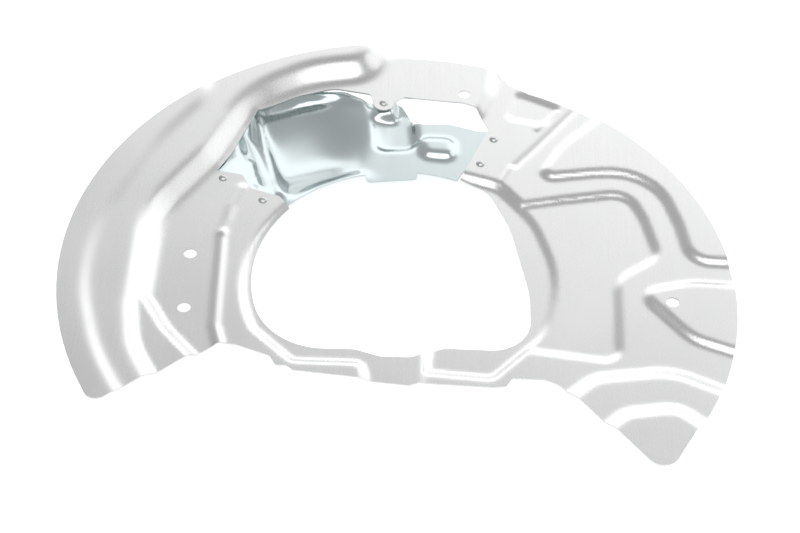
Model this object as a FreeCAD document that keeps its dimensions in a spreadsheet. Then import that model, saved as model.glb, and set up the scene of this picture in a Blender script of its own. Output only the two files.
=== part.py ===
"""Brake dust shield for a front wheel: a pressed backing plate, a drawn knuckle cover and five rivets.

Millimetres. The origin is the wheel axis at the level of the flat plate beside the bolt holes.
+Z is the side that faces the brake disc, +Y points to the arch over the knuckle cover.
Each sheet is a press form with drafted, rounded steps, trimmed to its outline and hollowed from below.
"""

import FreeCAD
import Part
import math
import os

# Driving dimensions: name, value, what it is. Draft angles are measured from the vertical.
SIZES = [
    ("sheet_thickness", 1.0, "both pressed sheets"),
    ("form_depth", 40.0, "press form under the plate level, only used to hollow the sheet"),
    ("form_margin", 50.0, "press form beyond the widest outline"),
    ("left_radius", 188.7, "outer edge of the left wing"),
    ("left_centre_y", -3.0, "centre of that edge, on the wheel axis in X"),
    ("arch_radius", 182.0, "outer edge of the arch, about the wheel axis"),
    ("right_radius", 177.5, "outer edge of the right wing"),
    ("right_centre_x", 10.0, "centre of the right wing's edge"),
    ("right_centre_y", -9.0, "centre of the right wing's edge"),
    ("hub_radius", 82.8, "hub opening, left side, about the wheel axis"),
    ("ring_radius", 88.5, "step round the hub flange, left side"),
    ("ring_centre_y", -4.0, "centre of that step"),
    ("strip_height", 9.0, "raised strip of the left wing over the plate"),
    ("strip_draft", 54.5, "long ramp of the strip"),
    ("strip_round", 8.0, "bend radius of the ramp"),
    ("brim_height", 1.5, "outermost strip over the raised strip"),
    ("brim_draft", 65.0, "step of the outermost strip"),
    ("terrace_height", 4.5, "half step at the foot of the ramp"),
    ("terrace_draft", 48.0, "wall of the half step"),
    ("terrace_round", 2.5, "bend radius of the half step"),
    ("bead_height", 1.2, "stiffening bead beside the hub"),
    ("bead_draft", 50.0, "walls of the bead"),
    ("flange_depth", 2.5, "hub flange under the plate, left side"),
    ("flange_draft", 50.0, "step round the hub flange"),
    ("right_drop", 3.0, "right wing under the arch"),
    ("right_draft", 66.0, "fold at the end of the arch"),
    ("crescent_depth", 3.5, "hub flange under the right wing"),
    ("pocket_depth", 2.0, "large pocket of the right wing"),
    ("pad_height", 2.5, "raised pads of the right wing"),
    ("press_draft", 56.0, "walls of pads and pockets"),
    ("tip_height", 4.0, "each of the two steps up to the right tip"),
    ("tip_draft", 64.0, "slope of those steps"),
    ("panel_depth", 1.2, "small panel beside the fold"),
    ("bolt_hole_diameter", 7.5, "three fixing holes"),
    ("left_bolt_x", -118.0, "pair of fixing holes on the left"),
    ("left_bolt_y", -7.1, "middle of that pair"),
    ("left_bolt_pitch", 40.5, "distance between that pair"),
    ("right_bolt_x", 151.7, "fixing hole on the right"),
    ("right_bolt_y", -14.8, "fixing hole on the right"),
    ("arch_hole_diameter", 7.0, "hole in the arch"),
    ("arch_hole_x", 36.9, "hole in the arch"),
    ("arch_hole_y", 150.8, "hole in the arch"),
    ("cover_rim_radius", 86.5, "edge of the knuckle cover at the hub, about the wheel axis"),
    ("bowl_depth", 11.0, "drawn bowl of the knuckle cover under its rim"),
    ("bowl_draft", 35.0, "walls of the bowl"),
    ("bowl_round", 5.0, "bend radius of the bowl"),
    ("valley_depth", 4.0, "hollow between the bowl and the right flange"),
    ("dimple_height", 3.0, "stiffening dimple of the knuckle cover"),
    ("cover_draft", 35.0, "walls of the flange, hollow and dimple"),
    ("box_draft", 12.0, "walls of the box under the arch tab"),
    ("cover_round", 1.4, "bend radius of those walls"),
    ("rivet_shank_diameter", 3.2, "five rivets"),
    ("rivet_clearance", 0.1, "rivet hole round the shank, on the radius"),
    ("rivet_head_diameter", 5.4, "domed head, over the plate"),
    ("rivet_head_height", 1.5, "domed head"),
    ("rivet_tail_diameter", 5.0, "closed end, under the cover"),
    ("rivet_tail_height", 1.0, "closed end"),
]

# Rivet places in plan, left to right.
RIVETS = {
    "left_outer": (-104.0, 73.9),
    "left_inner": (-79.8, 56.6),
    "arch_tab": (-11.9, 141.3),
    "right_outer": (54.5, 114.9),
    "right_inner": (46.4, 93.8),
}
RIGHT_RIVETS = ("right_outer", "right_inner")

# Press lines: corners in plan as x, y and corner radius. They run past the trimmed edge.
STRIP_FOOT = [
    (-18, 162, 25), (-55, 155, 60), (-79, 139.4, 60), (-91, 125, 60), (-107, 84.5, 60), (-135.4, 39.8, 60),
    (-137, -30, 60), (-133, -57, 50), (-105, -110, 0), (-220, -170, 0), (-220, 225, 0), (10, 225, 0),
]
BRIM_FOOT = [
    (-138, -107, 0), (-160, -66, 150), (-172.5, -20, 120), (-170, 25, 120), (-140, 98, 120), (-118, 131, 40),
    (-112, 165, 0), (-200, 165, 0), (-200, -138, 0),
]
TERRACE_FOOT = [
    (-139, -17, 9), (-124.4, -43.1, 40), (-96, -76, 0), (-150, -120, 0), (-152, -20, 0),
]
BEAD_FOOT = [
    (-103.9, 28, 6), (-102.9, -41, 0), (-94, -78, 2.5), (-86, -78, 2.5), (-97.4, -40, 0), (-98.8, 37, 1.7),
]
RIGHT_WING = [
    (63, 250, 0), (49.5, 154, 30), (43, 136, 12), (8, 120, 0), (8, -250, 0), (250, -250, 0), (250, 250, 0),
]
POCKET = [
    (50, 58, 0), (92, 67.5, 60), (133, 75, 16), (141.5, 53, 30), (148.5, 22, 12), (124, 4, 18),
    (121.8, -58, 10), (72, -51, 20), (50, -47, 0),
]
OUTER_PAD = [
    (126, 145, 0), (93.8, 110.9, 60), (75.5, 79, 7), (112, 85, 40), (146, 88, 32), (158, 46, 40),
    (163, 16.5, 16), (230, 13, 0), (230, 230, 0), (200, 225, 0),
]
BOLT_PAD = [
    (226, 0, 10), (163.3, 3.4, 40), (130, -5, 9), (160, -42, 30), (226, -68, 10),
]
TIP_STEPS = [
    [(60, -108, 20), (104, -66.5, 22), (148, -60, 40), (230, -99, 20), (230, -225, 20), (40, -225, 0)],
    [(70, -140, 20), (119, -93, 18), (150, -88, 20), (212, -144, 20), (212, -205, 20), (70, -205, 0)],
]
PANEL = [
    (69, 158, 4), (96, 144.5, 4), (86, 128, 5), (62, 133, 4),
]


class Sizes:
    """The sheet of driving dimensions, read by name."""

    def __init__(self, doc):
        self.sheet = doc.addObject("Spreadsheet::Sheet", "sizes")
        for row, (name, value, note) in enumerate(SIZES, start=1):
            self.sheet.set("A%d" % row, name)
            self.sheet.set("B%d" % row, str(value))
            self.sheet.set("C%d" % row, note)
            self.sheet.setAlias("B%d" % row, name)
        doc.recompute()

    def __getattr__(self, name):
        return float(self.sheet.get(name))


def vector(x, y, z=0.0):
    return FreeCAD.Vector(x, y, z)


def polar(centre, radius, degrees):
    """Point on a circle."""
    angle = math.radians(degrees)
    return (centre[0] + radius * math.cos(angle), centre[1] + radius * math.sin(angle))


def arc(centre, radius, first, last):
    """Fixed arc of an outline, from one bearing to another."""
    return [polar(centre, radius, turn) for turn in (first, (first + last) / 2, last)]


def outline(items):
    """Closed outline of corners (x, y, radius) and fixed arcs, as lines and arcs."""
    ends = []
    count = len(items)
    for index, item in enumerate(items):
        if isinstance(item, list):
            ends.append([vector(*point) for point in item])
            continue
        before, after = items[index - 1], items[(index + 1) % count]
        here = vector(item[0], item[1])
        back = vector(*(before[-1] if isinstance(before, list) else before[:2])) - here
        ahead = vector(*(after[0] if isinstance(after, list) else after[:2])) - here
        if not item[2]:
            ends.append([here, None, here])
            continue
        back.normalize()
        ahead.normalize()
        half = back.getAngle(ahead) / 2
        reach = item[2] / math.tan(half)
        middle = here + (back + ahead).normalize() * (item[2] / math.sin(half) - item[2])
        ends.append([here + back * reach, middle, here + ahead * reach])
    pieces = []
    for index, (start, middle, end) in enumerate(ends):
        if middle is not None:
            pieces.append(Part.Arc(start, middle, end))
        following = ends[(index + 1) % count][0]
        if end.distanceToPoint(following) > 1e-6:
            pieces.append(Part.LineSegment(end, following))
    return pieces


class Form:
    """Press form of one sheet: a deep block with raised and sunken regions."""

    def __init__(self, doc, name, level, box):
        self.doc = doc
        self.body = doc.addObject("PartDesign::Body", name)
        low, high = box
        corners = [(low[0], low[1], 0), (high[0], low[1], 0), (high[0], high[1], 0), (low[0], high[1], 0)]
        self.tip = self.body.newObject("PartDesign::Pad", name + "_block")
        self.tip.Profile = self.sketch(name + "_block_outline", corners, level)
        self.tip.Reversed = True
        self.tip.setExpression("Length", "sizes.form_depth")
        doc.recompute()

    def sketch(self, name, items, level):
        drawn = self.body.newObject("Sketcher::SketchObject", name)
        plane = [item for item in self.body.Origin.OriginFeatures if item.Role == "XY_Plane"][0]
        drawn.AttachmentSupport = [(plane, "")]
        drawn.MapMode = "FlatFace"
        drawn.setExpression("AttachmentOffset.Base.z", level)
        drawn.addGeometry(outline(items), False)
        return drawn

    def region(self, kind, name, items, level, height, draft, bend, both_bends=True):
        """Raise (Pad) or sink (Pocket) one region with drafted walls, and round its bends."""
        before = self.tip.Shape
        feature = self.body.newObject("PartDesign::" + kind, name)
        feature.Profile = self.sketch(name + "_line", items, level)
        feature.setExpression("Length", height)
        feature.setExpression("TaperAngle", "-sizes.%s" % draft)
        self.doc.recompute()
        self.tip = feature
        if bend is None:
            return
        start = feature.Profile[0].Placement.Base.z
        end = start + feature.Length.Value * (1 if kind == "Pad" else -1)
        self.soften(name, before, bend, (start, end) if both_bends else (end,))

    def soften(self, name, before, bend, levels):
        """Round the new edges of the last region that lie at these levels."""
        known = {self.place(edge) for edge in before.Edges}
        names = []
        for number, edge in enumerate(self.tip.Shape.Edges, start=1):
            heights = [vertex.Z for vertex in edge.Vertexes] + [edge.CenterOfMass.z]
            level = any(max(abs(height - wanted) for height in heights) < 1e-4 for wanted in levels)
            if level and self.place(edge) not in known:
                names.append("Edge%d" % number)
        rounding = self.body.newObject("PartDesign::Fillet", name + "_bend")
        rounding.Base = (self.tip, names)
        rounding.setExpression("Radius", "sizes." + bend)
        self.doc.recompute()
        self.tip = rounding

    @staticmethod
    def place(edge):
        return tuple(round(value, 2) for value in edge.CenterOfMass)

    def sheet(self, label, trims):
        """Trim the form to its outlines, hollow it from below and name the sheet."""
        doc = self.doc
        trim = doc.addObject("Sketcher::SketchObject", label + "_trim")
        for items in trims:
            trim.addGeometry(outline(items), False)
        prism = doc.addObject("Part::Extrusion", label + "_trim_prism")
        prism.Base = trim
        prism.DirMode = "Normal"
        prism.Solid = True
        prism.Symmetric = True
        prism.setExpression("LengthFwd", "2 * sizes.form_depth - 2 * sizes.sheet_thickness")
        trimmed = doc.addObject("Part::Common", label + "_trimmed")
        trimmed.Base = self.body
        trimmed.Tool = prism
        under = doc.addObject("App::Link", label + "_under_side")
        under.LinkedObject = self.body
        under.setExpression("Placement.Base.z", "-sizes.sheet_thickness")
        sheet = doc.addObject("Part::Cut", "sheet_of_" + label)
        sheet.Base = trimmed
        sheet.Tool = under
        sheet.Label = label
        return sheet


def circle(x, y, diameter):
    """Round hole as two half arcs of an outline."""
    return [arc((x, y), diameter / 2, 0, 180), arc((x, y), diameter / 2, 180, 360)]


def rivet_holes(size):
    diameter = size.rivet_shank_diameter + 2 * size.rivet_clearance
    return [circle(x, y, diameter) for x, y in RIVETS.values()]


def backing_plate(doc, size):
    """Left wing, arch, right wing and the bridge under the hub opening, pressed from one sheet."""
    reach = size.left_radius + size.form_margin
    form = Form(doc, "plate_form", "0", ((-reach, -reach), (reach, reach)))
    ring_centre = (0, size.ring_centre_y)
    flange = [
        arc(ring_centre, size.ring_radius, 133, 205), (-57.5, -64, 6), (-20.5, -64.5, 4), (-15, -90, 6), (24, -90, 6),
        (24, 60, 6),
    ]
    crescent = [
        (12, -90, 6), (13.5, -67.9, 3), (52, -71.5, 8), (84, -37, 40), (93, 6, 85), (80, 50, 60), (58, 79, 20),
        (30, 88, 6), (12, 60, 6),
    ]
    right = "-sizes.right_drop"
    form.region("Pad", "strip", STRIP_FOOT, "0", "sizes.strip_height", "strip_draft", "strip_round")
    form.region("Pad", "terrace", TERRACE_FOOT, "0", "sizes.terrace_height", "terrace_draft", "terrace_round")
    form.region("Pad", "brim", BRIM_FOOT, "sizes.strip_height", "sizes.brim_height", "brim_draft", None)
    form.region("Pad", "bead", BEAD_FOOT, "0", "sizes.bead_height", "bead_draft", None)
    form.region("Pocket", "hub_flange", flange, "0", "sizes.flange_depth", "flange_draft", None)
    form.region("Pocket", "right_wing", RIGHT_WING, "0", "sizes.right_drop", "right_draft", None)
    form.region("Pocket", "pocket", POCKET, right, "sizes.pocket_depth", "press_draft", None)
    form.region("Pocket", "crescent", crescent, right, "sizes.crescent_depth", "flange_draft", None)
    form.region("Pad", "outer_pad", OUTER_PAD, right, "sizes.pad_height", "press_draft", None)
    form.region("Pad", "bolt_pad", BOLT_PAD, right, "sizes.pad_height", "press_draft", None)
    form.region("Pocket", "panel", PANEL, right, "sizes.panel_depth", "press_draft", None)
    for number, corners in enumerate(TIP_STEPS):
        level = "%s + %d * sizes.tip_height" % (right, number)
        form.region("Pad", "tip_step_%d" % (number + 1), corners, level, "sizes.tip_height", "tip_draft", None)

    left_centre = (0, size.left_centre_y)
    right_centre = (size.right_centre_x, size.right_centre_y)
    outer = [
        arc(left_centre, size.left_radius, 98.5, 209), (-159.5, -105.5, 7), (-106, -59.5, 12), (-97, -52.5, 8),
        (-88, -53, 10), (-69, -60.5, 4), (-65.5, -67, 1.5), (-59.5, -67, 2), (-56, -70.2, 3), (6.5, -77, 4),
        (12, -74.6, 4), (52, -76.5, 3), (58.5, -75.7, 2), (61.7, -70, 2), (79, -70.2, 10), (87, -73.5, 10),
        (139.4, -139, 9), arc(right_centre, size.right_radius, -34, 68), (65, 162.5, 4), (57.3, 173.5, 2),
        arc((0, 0), size.arch_radius, 74, 93.5), (-17, 182.5, 5),
    ]
    tab = RIVETS["arch_tab"]
    inner = [
        arc((0, 0), size.hub_radius, 141, 195), (-71.5, -53, 41), (-24, -52.6, 15), (-9, -57.5, 10), (8, -57.5, 10),
        (24, -47.3, 14), (73.2, -48.5, 22), (73.2, -6, 80), (63, 46, 80), (51, 74, 16), (34.5, 82.5, 0),
        (36.7, 86.7, 0), (51.6, 123.5, 2), (44, 139.8, 5), (37, 143.3, 6), (0, 147, 3), arc(tab, 6.2, 5, -185),
        (-20, 149, 3), (-42.5, 153.5, 20), (-64, 145.5, 30), (-88, 130.5, 4), (-101, 93.4, 30), (-108.5, 80, 1),
        (-93, 77, 3), (-87.5, 66, 4), (-70.5, 60, 2),
    ]
    left_bolts = [size.left_bolt_y + side * size.left_bolt_pitch / 2 for side in (-1, 1)]
    holes = [circle(size.left_bolt_x, y, size.bolt_hole_diameter) for y in left_bolts]
    holes.append(circle(size.right_bolt_x, size.right_bolt_y, size.bolt_hole_diameter))
    holes.append(circle(size.arch_hole_x, size.arch_hole_y, size.arch_hole_diameter))
    return form.sheet("backing_plate", [outer, inner] + holes + rivet_holes(size))


def knuckle_cover(doc, size):
    """Drawn cover over the steering knuckle: it lies under the plate and closes the hub rim."""
    rim = "-sizes.right_drop - sizes.sheet_thickness"
    form = Form(doc, "cover_form", rim, ((-150, 20), (100, 190)))
    left_flange = [(-85, 105, 6), (-72, 58, 6), (-72, 30, 0), (-145, 30, 0), (-145, 150, 0), (-105, 150, 0)]
    bowl = [
        (-81, 60, 16), (-103, 124, 18), (-66, 153, 30), (-42, 158, 18), (-22, 112, 24), (-21, 88, 16), (-50, 80, 60),
    ]
    box = [(-17.5, 170, 0), (-19, 132.5, 3), (-4, 132.5, 3), (-4.5, 170, 0)]
    valley = [(-24, 150, 0), (-16, 104, 8), (10, 106, 8), (6, 150, 0)]
    dimple = [(8, 116, 6), (12, 99, 6), (32, 97, 6), (31, 115, 6)]
    form.region("Pad", "left_flange", left_flange, rim, "sizes.right_drop", "cover_draft", "cover_round")
    form.region("Pocket", "bowl", bowl, "-sizes.sheet_thickness", "sizes.right_drop + sizes.bowl_depth",
                "bowl_draft", "bowl_round", both_bends=False)
    form.region("Pocket", "valley", valley, rim, "sizes.valley_depth", "cover_draft", "cover_round")
    form.region("Pad", "dimple", dimple, rim, "sizes.dimple_height", "cover_draft", "cover_round")
    form.region("Pad", "box", box, rim + " - sizes.valley_depth", "sizes.right_drop + sizes.valley_depth",
                "box_draft", "cover_round")
    trim = [
        arc((0, 0), size.cover_rim_radius, 139, 104.5), (-20, 77.5, 2), (9, 80.8, 2),
        arc((0, 0), size.cover_rim_radius, 84, 68), (36.5, 88.5, 0), (50, 88, 4), (63, 104, 8), (63, 121, 4),
        (45, 122.5, 10), (28, 128, 20), (8, 127, 10), (3, 138.5, 5), (-1, 147, 3), (-22, 147, 6), (-36, 155, 10),
        (-60, 155, 20), (-99, 137, 8), (-98, 100, 10), (-113, 84, 6), (-112, 64, 8), (-86, 47, 8), (-75, 52, 4),
        (-69, 63, 2),
    ]
    return form.sheet("knuckle_cover", [trim] + rivet_holes(size))


def rivets(doc, size):
    """Five blind rivets with domed heads, each a turned section at its own place."""
    head = size.rivet_head_diameter / 2
    shank = size.rivet_shank_diameter / 2
    tail = size.rivet_tail_diameter / 2
    grip = 2 * size.sheet_thickness
    height = size.rivet_head_height
    closed = -grip - size.rivet_tail_height
    ball = (head ** 2 + height ** 2) / (2 * height)
    shoulder = math.sqrt(ball ** 2 - (ball - height / 2) ** 2)
    corners = [vector(head, 0), vector(shank, 0), vector(shank, -grip), vector(tail, -grip), vector(tail, closed),
               vector(0, closed), vector(0, height)]
    section = doc.addObject("Sketcher::SketchObject", "rivet_section")
    section.Placement = FreeCAD.Placement(vector(0, 0), FreeCAD.Rotation(vector(1, 0), 90))
    section.addGeometry([Part.LineSegment(*pair) for pair in zip(corners, corners[1:])], False)
    section.addGeometry([Part.Arc(corners[-1], vector(shoulder, height / 2), corners[0])], False)
    turned = []
    for name, (x, y) in RIVETS.items():
        rivet = doc.addObject("Part::Revolution", "rivet_" + name)
        rivet.Source = section
        rivet.Axis = vector(0, 0, 1)
        rivet.Solid = True
        rivet.Placement.Base = vector(x, y)
        if name in RIGHT_RIVETS:
            rivet.setExpression("Placement.Base.z", "-sizes.right_drop")
        turned.append(rivet)
    group = doc.addObject("Part::Compound", "rivet_set")
    group.Links = turned
    group.Label = "rivets"
    return group


def main():
    doc = FreeCAD.newDocument("brake_dust_shield")
    size = Sizes(doc)
    pieces = [backing_plate(doc, size), knuckle_cover(doc, size), rivets(doc, size)]
    doc.recompute()
    for item in doc.Objects:
        if "Invalid" in item.State or "Error" in item.State:
            raise RuntimeError("%s failed: %s" % (item.Name, item.State))
    for piece in pieces:
        if piece.Shape.isNull() or not piece.Shape.isValid():
            raise RuntimeError("%s has no valid shape" % piece.Label)
    os.makedirs("parts", exist_ok=True)
    for piece in pieces:
        piece.Shape.exportStep("parts/%s.step" % piece.Label)
        print(piece.Label, "solids", len(piece.Shape.Solids), "volume", round(piece.Shape.Volume, 1))


main()
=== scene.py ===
"""Brake dust shield lying on a pale floor: satin pressed sheet, bright drawn cover and domed rivets."""

import math

import bmesh
import bpy
import numpy as np
from mathutils import Matrix, Vector
from mathutils.bvhtree import BVHTree


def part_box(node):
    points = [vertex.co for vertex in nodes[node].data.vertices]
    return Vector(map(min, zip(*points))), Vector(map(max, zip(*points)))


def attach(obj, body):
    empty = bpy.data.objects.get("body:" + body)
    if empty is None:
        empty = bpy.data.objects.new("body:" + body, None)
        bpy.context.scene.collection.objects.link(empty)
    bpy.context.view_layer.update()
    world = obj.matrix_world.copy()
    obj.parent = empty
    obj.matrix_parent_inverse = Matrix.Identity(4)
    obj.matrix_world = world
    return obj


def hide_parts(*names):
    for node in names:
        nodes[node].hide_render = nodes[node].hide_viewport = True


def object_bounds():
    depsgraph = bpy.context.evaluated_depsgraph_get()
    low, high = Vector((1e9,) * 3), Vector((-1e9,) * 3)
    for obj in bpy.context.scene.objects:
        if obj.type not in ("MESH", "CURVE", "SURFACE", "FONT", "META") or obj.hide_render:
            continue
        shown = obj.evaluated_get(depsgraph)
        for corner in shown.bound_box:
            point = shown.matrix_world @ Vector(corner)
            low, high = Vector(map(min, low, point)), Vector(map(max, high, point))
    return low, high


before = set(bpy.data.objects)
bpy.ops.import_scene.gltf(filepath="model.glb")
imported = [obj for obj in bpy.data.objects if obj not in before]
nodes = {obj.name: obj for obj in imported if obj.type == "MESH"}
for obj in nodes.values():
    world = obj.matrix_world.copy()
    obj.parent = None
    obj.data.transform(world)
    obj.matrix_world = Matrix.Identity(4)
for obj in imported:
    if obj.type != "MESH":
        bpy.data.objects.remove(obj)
cad_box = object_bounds()

# Camera of the photograph: height over the plate, roll, place and lens.
CAMERA_HEIGHT_DEG = 47.2
CAMERA_ROLL_DEG = 1.35
CAMERA_PLACE = (0.000218, -0.77575, 0.84508)
LENS_MM = 92.42
SENSOR_MM = 36.0
CLIP_END = 20.0

# Finishes: colour and roughness of the bare metal.
PLATE_COLOUR = (0.785, 0.797, 0.788)
COVER_COLOUR = (0.64, 0.71, 0.72)
RIVET_COLOUR = (0.62, 0.64, 0.64)
PLATE_ROUGHNESS = 0.27
COVER_ROUGHNESS = 0.18
RIVET_ROUGHNESS = 0.30

# Strength of the fine relief of each finish, and its depth in metres.
PLATE_GRAIN = 0.006
COVER_GRAIN = 0.005
RIVET_GRAIN = 0.012
GRAIN_DEPTH = 0.0001

# Marks of rolling and handling: stretch, scale and detail of each noise, and the range of it that is used.
LINE_NOISE = ((1.0, 0.03, 1.0), 900.0, 3.0)
CLOUD_NOISE = ((1.0, 1.0, 1.0), 14.0, 4.0)
SPECK_NOISE = ((1.0, 1.0, 1.0), 1400.0, 2.0)
NOISE_LOW = 0.3
NOISE_HIGH = 0.7

# How far the lines and the clouds change the roughness, and the clouds the colour.
LINE_ROUGHNESS = 0.02
CLOUD_ROUGHNESS = 0.03
CLOUD_DARK = 0.97
CLOUD_LIGHT = 1.02

# Softened sheets, in metres: thickness, spacing of the grid cut and of the height samples, merging distance.
SHEET = 0.001
GRID = 0.002
SAMPLE = 0.001
MERGE = 1e-6

# Samples are read this many short of the last, so that there is a next one to blend with.
LAST_SHORT = 1.001

# Softness of the bends, in metres, and how many times that far the average reaches.
PLATE_BEND = 0.0012
BRIM_BEND = 0.0022
COVER_BEND = 0.0016
BOWL_BEND = 0.0100
BEND_REACH = 3
NO_WEIGHT = 1e-9

# Faces: steepest angle that is shaded smooth, rise of a face of the cut edge and of a face on top.
SHARP_DEG = 38.0
EDGE_FACE = 0.12
TOP_FACE = 0.05

# Zone of the left wing's outermost strip, whose step is softer: distance from the wheel axis.
BRIM_FROM = 0.150
BRIM_FULL = 0.162

# Zone of the cover's drawn bowl, which is one soft dish: where it begins at the right, in plan.
BOWL_FROM_X = -0.006
BOWL_FULL_X = -0.026

# The dish stays off the cover's edge: softness of the covered area, and the shares where the dish begins.
EDGE_BLUR = 0.004
EDGE_FROM = 0.60
EDGE_FULL = 0.96

# Faint creases of the plate and folds of the cover: points in plan, height and half width.
PLATE_CREASES = (
    (((-0.1013, 0.030), (-0.0990, 0.040), (-0.0973, 0.0515), (-0.0925, 0.066)), 0.0008, 0.0036),
    (((0.0925, 0.1404), (0.0806, 0.1248)), 0.0004, 0.0022),
    (((0.1041, 0.1426), (0.0802, 0.1100), (0.0673, 0.0934)), -0.0005, 0.0030),
    (((0.0635, 0.0910), (0.0579, 0.0794)), 0.0003, 0.0020),
)
COVER_CREASES = (
    (((-0.0905, 0.1380), (-0.0828, 0.1118), (-0.0767, 0.0906), (-0.0701, 0.0667)), 0.0024, 0.0052),
    (((-0.0894, 0.0944), (-0.0875, 0.0844), (-0.0838, 0.0720)), 0.0012, 0.0032),
)

# Soft studio tent, brightest low behind and to the right: how far a direction points there, and its radiance.
BRIGHT_SIDE = (0.30, 0.95, 0.0)
TENT = (
    (-1.0, 0.45), (0.30, 0.46), (0.52, 0.54), (0.60, 0.66), (0.65, 0.80), (0.70, 1.26), (0.76, 1.45),
)
TENT_TOP = 2.0

# Soft boxes: name, direction from the shield, width, height and radiance.
SOFT_BOXES = (
    ("over_camera", (0.0, -0.34, 0.94), 1.9, 1.0, 1.3),
    ("right_side", (0.80, 0.25, 0.55), 1.0, 0.9, 0.7),
)
BOX_DISTANCE = 1.6

# Floor: finish, half its side, and its glow in what the shield reflects and in what the camera sees.
FLOOR_COLOUR = (0.93, 0.93, 0.93)
FLOOR_ROUGHNESS = 0.9
FLOOR_SPECULAR = 0.1
FLOOR_HALF = 4.0
FLOOR_GLOW = 0.30
FLOOR_SEEN_GLOW = 0.62
WHITE = (1.0, 1.0, 1.0, 1.0)


def add(tree, kind, **values):
    """Shader node with its settings."""
    made = tree.nodes.new(kind)
    for name, value in values.items():
        setattr(made, name, value)
    return made


def ramp(tree, stops):
    """Colour ramp of grey stops."""
    made = add(tree, "ShaderNodeValToRGB")
    elements = made.color_ramp.elements
    elements.remove(elements[1])
    for place, grey in stops:
        element = elements[0] if place == stops[0][0] else elements.new(place)
        element.color = (grey, grey, grey, 1.0)
    return made


def noise(tree, source, stretch, scale, detail):
    """Noise over the piece's own coordinates, drawn out where the stretch is small."""
    turn = add(tree, "ShaderNodeMapping")
    turn.inputs["Scale"].default_value = stretch
    tree.links.new(source.outputs["Object"], turn.inputs["Vector"])
    made = add(tree, "ShaderNodeTexNoise")
    made.inputs["Scale"].default_value = scale
    made.inputs["Detail"].default_value = detail
    tree.links.new(turn.outputs["Vector"], made.inputs["Vector"])
    return made


def spread(tree, source, low, high):
    """Noise value spread over a range."""
    made = add(tree, "ShaderNodeMapRange")
    made.inputs["From Min"].default_value = NOISE_LOW
    made.inputs["From Max"].default_value = NOISE_HIGH
    made.inputs["To Min"].default_value = low
    made.inputs["To Max"].default_value = high
    tree.links.new(source.outputs["Fac"], made.inputs["Value"])
    return made


def rolled_metal(name, colour, roughness, grain):
    """Bare rolled sheet: fine lines along the rolling direction, cloudy handling marks and a fine grain."""
    material = bpy.data.materials.new(name)
    material.use_nodes = True
    tree = material.node_tree
    shader = tree.nodes["Principled BSDF"]
    shader.inputs["Metallic"].default_value = 1.0
    place = add(tree, "ShaderNodeTexCoord")
    lines = noise(tree, place, *LINE_NOISE)
    clouds = noise(tree, place, *CLOUD_NOISE)
    specks = noise(tree, place, *SPECK_NOISE)

    tint = add(tree, "ShaderNodeMix", data_type="RGBA")
    tint.inputs["A"].default_value = (*[CLOUD_DARK * part for part in colour], 1.0)
    tint.inputs["B"].default_value = (*[CLOUD_LIGHT * part for part in colour], 1.0)
    tree.links.new(spread(tree, clouds, 0.0, 1.0).outputs["Result"], tint.inputs["Factor"])
    tree.links.new(tint.outputs["Result"], shader.inputs["Base Color"])

    rough = add(tree, "ShaderNodeMath", operation="ADD")
    streaks = spread(tree, lines, roughness - LINE_ROUGHNESS, roughness + LINE_ROUGHNESS)
    marks = spread(tree, clouds, -CLOUD_ROUGHNESS, CLOUD_ROUGHNESS)
    tree.links.new(streaks.outputs["Result"], rough.inputs[0])
    tree.links.new(marks.outputs["Result"], rough.inputs[1])
    tree.links.new(rough.outputs["Value"], shader.inputs["Roughness"])

    relief = add(tree, "ShaderNodeMath", operation="ADD")
    tree.links.new(lines.outputs["Fac"], relief.inputs[0])
    tree.links.new(specks.outputs["Fac"], relief.inputs[1])
    bump = add(tree, "ShaderNodeBump")
    bump.inputs["Strength"].default_value = grain
    bump.inputs["Distance"].default_value = GRAIN_DEPTH
    tree.links.new(relief.outputs["Value"], bump.inputs["Height"])
    tree.links.new(bump.outputs["Normal"], shader.inputs["Normal"])
    return material


def dress(node, material):
    """Give a CAD piece its finish."""
    piece = nodes[node]
    piece.data.materials.clear()
    piece.data.materials.append(material)


def height_samples(form):
    """Top of a sheet over a fine grid in plan, and which samples lie on it."""
    low, high = cad_box
    across = np.arange(low.x - SAMPLE, high.x + 2 * SAMPLE, SAMPLE)
    along = np.arange(low.y - SAMPLE, high.y + 2 * SAMPLE, SAMPLE)
    tree = BVHTree.FromBMesh(form)
    down = Vector((0.0, 0.0, -1.0))
    heights = np.zeros((len(along), len(across)))
    covered = np.zeros_like(heights)
    for row, y in enumerate(along):
        for column, x in enumerate(across):
            hit = tree.ray_cast(Vector((x, y, high.z + SHEET)), down)[0]
            if hit is not None:
                heights[row, column] = hit.z
                covered[row, column] = 1.0
    return across, along, heights, covered


def softened(heights, covered, bend):
    """Heights averaged over the bend, within the sheet's own outline."""
    reach = int(math.ceil(BEND_REACH * bend / SAMPLE))
    offsets = np.arange(-reach, reach + 1) * SAMPLE
    weights = np.exp(-offsets ** 2 / (2 * bend ** 2))

    def average(values):
        for axis in (0, 1):
            values = np.apply_along_axis(np.convolve, axis, values, weights, "same")
        return values

    return average(heights * covered) / np.maximum(average(covered), NO_WEIGHT)


def crease_heights(across, along, creases):
    """Pressed lines added to a sheet."""
    x, y = np.meshgrid(across, along)
    total = np.zeros_like(x)
    for points, height, half in creases:
        nearest = np.full_like(x, np.inf)
        for (ax, ay), (bx, by) in zip(points, points[1:]):
            run, rise = bx - ax, by - ay
            share = np.clip(((x - ax) * run + (y - ay) * rise) / (run ** 2 + rise ** 2), 0.0, 1.0)
            nearest = np.minimum(nearest, np.hypot(x - ax - share * run, y - ay - share * rise))
        total += height * np.exp(-nearest ** 2 / (2 * (half / 2) ** 2))
    return total


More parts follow.
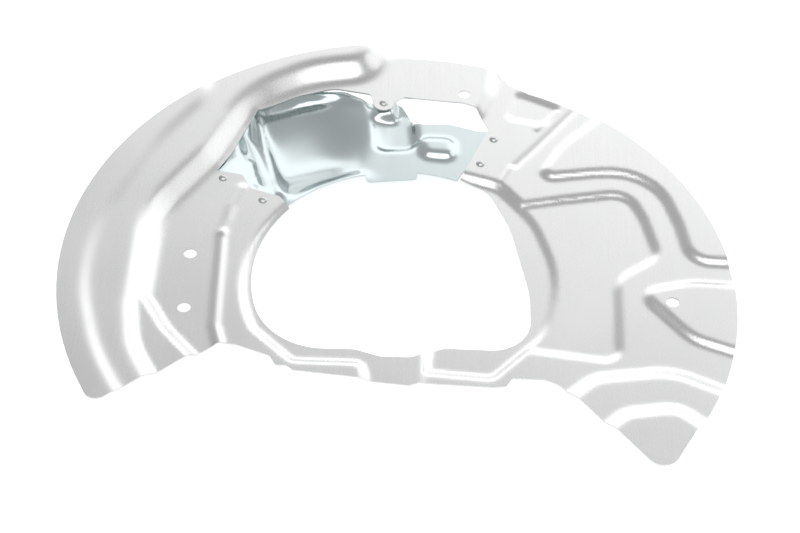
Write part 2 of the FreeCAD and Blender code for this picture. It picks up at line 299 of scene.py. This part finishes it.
def read_heights(across, along, heights, places):
    """Heights at places in plan, between the samples."""
    column = np.clip((places[:, 0] - across[0]) / SAMPLE, 0, len(across) - LAST_SHORT)
    row = np.clip((places[:, 1] - along[0]) / SAMPLE, 0, len(along) - LAST_SHORT)
    left, lower = column.astype(int), row.astype(int)
    right_share, upper_share = column - left, row - lower
    below = heights[lower, left] * (1 - right_share) + heights[lower, left + 1] * right_share
    above = heights[lower + 1, left] * (1 - right_share) + heights[lower + 1, left + 1] * right_share
    return below * (1 - upper_share) + above * upper_share


def smooth_shading(mesh, across, along, heights):
    """Shade both faces by the slope of the eased sheet, and its cut edge by its own faces."""
    rise_along, rise_across = np.gradient(heights, SAMPLE)
    places = np.array([vertex.co for vertex in mesh.vertices])
    lean_across = read_heights(across, along, rise_across, places)
    lean_along = read_heights(across, along, rise_along, places)
    slopes = np.stack([-lean_across, -lean_along, np.ones(len(places))], axis=1)
    slopes /= np.linalg.norm(slopes, axis=1, keepdims=True)
    shading = np.zeros((len(mesh.loops), 3))
    for face in mesh.polygons:
        for corner in face.loop_indices:
            slope = slopes[mesh.loops[corner].vertex_index]
            if abs(face.normal.z) < EDGE_FACE:
                shading[corner] = face.normal
            else:
                shading[corner] = slope if face.normal.z > 0 else -slope
    mesh.normals_split_custom_set(shading.tolist())


def pressed_sheet(node, name, material, soften):
    """A CAD sheet with soft bends: cut to a fine grid and eased in height, with its plan as it is."""
    form = bmesh.new()
    form.from_mesh(nodes[node].data)
    bmesh.ops.remove_doubles(form, verts=form.verts, dist=MERGE)
    across, along, heights, covered = height_samples(form)
    eased = soften(across, along, heights, covered)
    low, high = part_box(node)
    for axis in (0, 1):
        side = Vector((1.0, 0.0, 0.0)) if axis == 0 else Vector((0.0, 1.0, 0.0))
        for cut in np.arange(low[axis] + GRID / 2, high[axis], GRID):
            whole = form.verts[:] + form.edges[:] + form.faces[:]
            bmesh.ops.bisect_plane(form, geom=whole, dist=MERGE, plane_co=side * cut, plane_no=side)
    form.normal_update()
    places = np.array([vertex.co for vertex in form.verts])
    top = np.array([any(face.normal.z > TOP_FACE for face in vertex.link_faces) for vertex in form.verts])
    levels = read_heights(across, along, eased, places) - np.where(top, 0.0, SHEET)
    for vertex, level in zip(form.verts, levels):
        vertex.co.z = level
    bmesh.ops.triangulate(form, faces=form.faces, quad_method="BEAUTY", ngon_method="BEAUTY")
    form.normal_update()
    for face in form.faces:
        face.smooth = True
    for edge in form.edges:
        edge.smooth = edge.calc_face_angle(0.0) < math.radians(SHARP_DEG)
    mesh = bpy.data.meshes.new(name)
    form.to_mesh(mesh)
    form.free()
    smooth_shading(mesh, across, along, eased)
    mesh.materials.append(material)
    piece = bpy.data.objects.new(name, mesh)
    bpy.context.scene.collection.objects.link(piece)
    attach(piece, "root")
    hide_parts(node)


def plate_bends(across, along, heights, covered):
    """Bends of the plate: softer at the outermost strip of the left wing, with faint creases added."""
    tight = softened(heights, covered, PLATE_BEND)
    wide = softened(heights, covered, BRIM_BEND)
    x, y = np.meshgrid(across, along)
    share = np.clip((np.hypot(x, y) - BRIM_FROM) / (BRIM_FULL - BRIM_FROM), 0.0, 1.0) * (x < 0)
    return tight * (1 - share) + wide * share + crease_heights(across, along, PLATE_CREASES)


def cover_bends(across, along, heights, covered):
    """Bends of the drawn cover: the bowl is one soft dish, its edges and the right side stay crisp."""
    tight = softened(heights, covered, COVER_BEND)
    wide = softened(heights, covered, BOWL_BEND)
    inside = softened(covered, np.ones_like(covered), EDGE_BLUR)
    x, _ = np.meshgrid(across, along)
    share = np.clip((inside - EDGE_FROM) / (EDGE_FULL - EDGE_FROM), 0.0, 1.0)
    share = share * np.clip((x - BOWL_FROM_X) / (BOWL_FULL_X - BOWL_FROM_X), 0.0, 1.0)
    share = softened(share, np.ones_like(share), COVER_BEND)
    return tight * (1 - share) + wide * share + crease_heights(across, along, COVER_CREASES)


def studio_floor():
    """Plain pale floor under the shield, near white in the picture."""
    low = cad_box[0][2]
    form = bmesh.new()
    ground = Matrix.Translation((0.0, 0.0, low))
    bmesh.ops.create_grid(form, x_segments=1, y_segments=1, size=FLOOR_HALF, matrix=ground)
    mesh = bpy.data.meshes.new("studio_floor")
    form.to_mesh(mesh)
    form.free()
    floor = bpy.data.objects.new("studio_floor", mesh)
    bpy.context.scene.collection.objects.link(floor)
    material = bpy.data.materials.new("pale_floor")
    material.use_nodes = True
    shader = material.node_tree.nodes["Principled BSDF"]
    shader.inputs["Base Color"].default_value = (*FLOOR_COLOUR, 1.0)
    shader.inputs["Roughness"].default_value = FLOOR_ROUGHNESS
    shader.inputs["Specular IOR Level"].default_value = FLOOR_SPECULAR
    shader.inputs["Emission Color"].default_value = WHITE
    tree = material.node_tree
    ray = add(tree, "ShaderNodeLightPath")
    glow = add(tree, "ShaderNodeMapRange")
    glow.inputs["To Min"].default_value = FLOOR_GLOW
    glow.inputs["To Max"].default_value = FLOOR_SEEN_GLOW
    tree.links.new(ray.outputs["Is Camera Ray"], glow.inputs["Value"])
    tree.links.new(glow.outputs["Result"], shader.inputs["Emission Strength"])
    mesh.materials.append(material)


def studio_tent():
    """World light: a soft gradient, and plain white where the camera looks past the floor."""
    world = bpy.data.worlds.new("studio_tent")
    bpy.context.scene.world = world
    world.use_nodes = True
    tree = world.node_tree
    tree.nodes.clear()
    place = add(tree, "ShaderNodeTexCoord")
    side = add(tree, "ShaderNodeVectorMath", operation="DOT_PRODUCT")
    side.inputs[1].default_value = Vector(BRIGHT_SIDE).normalized()
    tree.links.new(place.outputs["Generated"], side.inputs[0])
    share = add(tree, "ShaderNodeMapRange")
    share.inputs["From Min"].default_value = -1.0
    tree.links.new(side.outputs["Value"], share.inputs["Value"])
    levels = add(tree, "ShaderNodeMapRange")
    levels.inputs["To Max"].default_value = TENT_TOP
    grey = ramp(tree, [((at + 1.0) / 2.0, level / TENT_TOP) for at, level in TENT])
    tree.links.new(share.outputs["Result"], grey.inputs["Fac"])
    tree.links.new(grey.outputs["Color"], levels.inputs["Value"])
    light = add(tree, "ShaderNodeBackground")
    light.inputs["Color"].default_value = WHITE
    tree.links.new(levels.outputs["Result"], light.inputs["Strength"])
    white = add(tree, "ShaderNodeBackground")
    white.inputs["Color"].default_value = WHITE
    ray = add(tree, "ShaderNodeLightPath")
    choose = add(tree, "ShaderNodeMixShader")
    tree.links.new(ray.outputs["Is Camera Ray"], choose.inputs["Fac"])
    tree.links.new(light.outputs["Background"], choose.inputs[1])
    tree.links.new(white.outputs["Background"], choose.inputs[2])
    out = add(tree, "ShaderNodeOutputWorld")
    tree.links.new(choose.outputs["Shader"], out.inputs["Surface"])


def soft_boxes():
    """Large soft lamps that the sheet reflects."""
    for name, direction, width, height, radiance in SOFT_BOXES:
        lamp = bpy.data.lights.new(name, "AREA")
        lamp.shape = "RECTANGLE"
        lamp.size = width
        lamp.size_y = height
        lamp.energy = radiance * math.pi * width * height
        box = bpy.data.objects.new(name, lamp)
        bpy.context.scene.collection.objects.link(box)
        toward = Vector(direction).normalized()
        box.location = toward * BOX_DISTANCE
        box.rotation_euler = toward.to_track_quat("Z", "Y").to_euler()


def photo_camera():
    """Camera at the photograph's angle."""
    height = math.radians(CAMERA_HEIGHT_DEG)
    roll = math.radians(CAMERA_ROLL_DEG)
    forward = Vector((0.0, math.cos(height), -math.sin(height)))
    level = Vector((1.0, 0.0, 0.0))
    rise = Vector((0.0, math.sin(height), math.cos(height)))
    right = math.cos(roll) * level + math.sin(roll) * rise
    up = math.cos(roll) * rise - math.sin(roll) * level
    turn = Matrix((right, up, -forward)).transposed().to_4x4()
    lens = bpy.data.cameras.new("photo_camera")
    lens.sensor_fit = "HORIZONTAL"
    lens.sensor_width = SENSOR_MM
    lens.lens = LENS_MM
    lens.clip_end = CLIP_END
    camera = bpy.data.objects.new("photo_camera", lens)
    bpy.context.scene.collection.objects.link(camera)
    camera.matrix_world = Matrix.Translation(CAMERA_PLACE) @ turn
    bpy.context.scene.camera = camera


satin_plate = rolled_metal("satin_plate", PLATE_COLOUR, PLATE_ROUGHNESS, PLATE_GRAIN)
bright_cover = rolled_metal("bright_cover", COVER_COLOUR, COVER_ROUGHNESS, COVER_GRAIN)
dress("rivets", rolled_metal("rivet_metal", RIVET_COLOUR, RIVET_ROUGHNESS, RIVET_GRAIN))
pressed_sheet("backing_plate", "pressed_plate", satin_plate, plate_bends)
pressed_sheet("knuckle_cover", "drawn_cover", bright_cover, cover_bends)
studio_floor()
studio_tent()
soft_boxes()
photo_camera()
bpy.context.scene.view_settings.view_transform = "Standard"
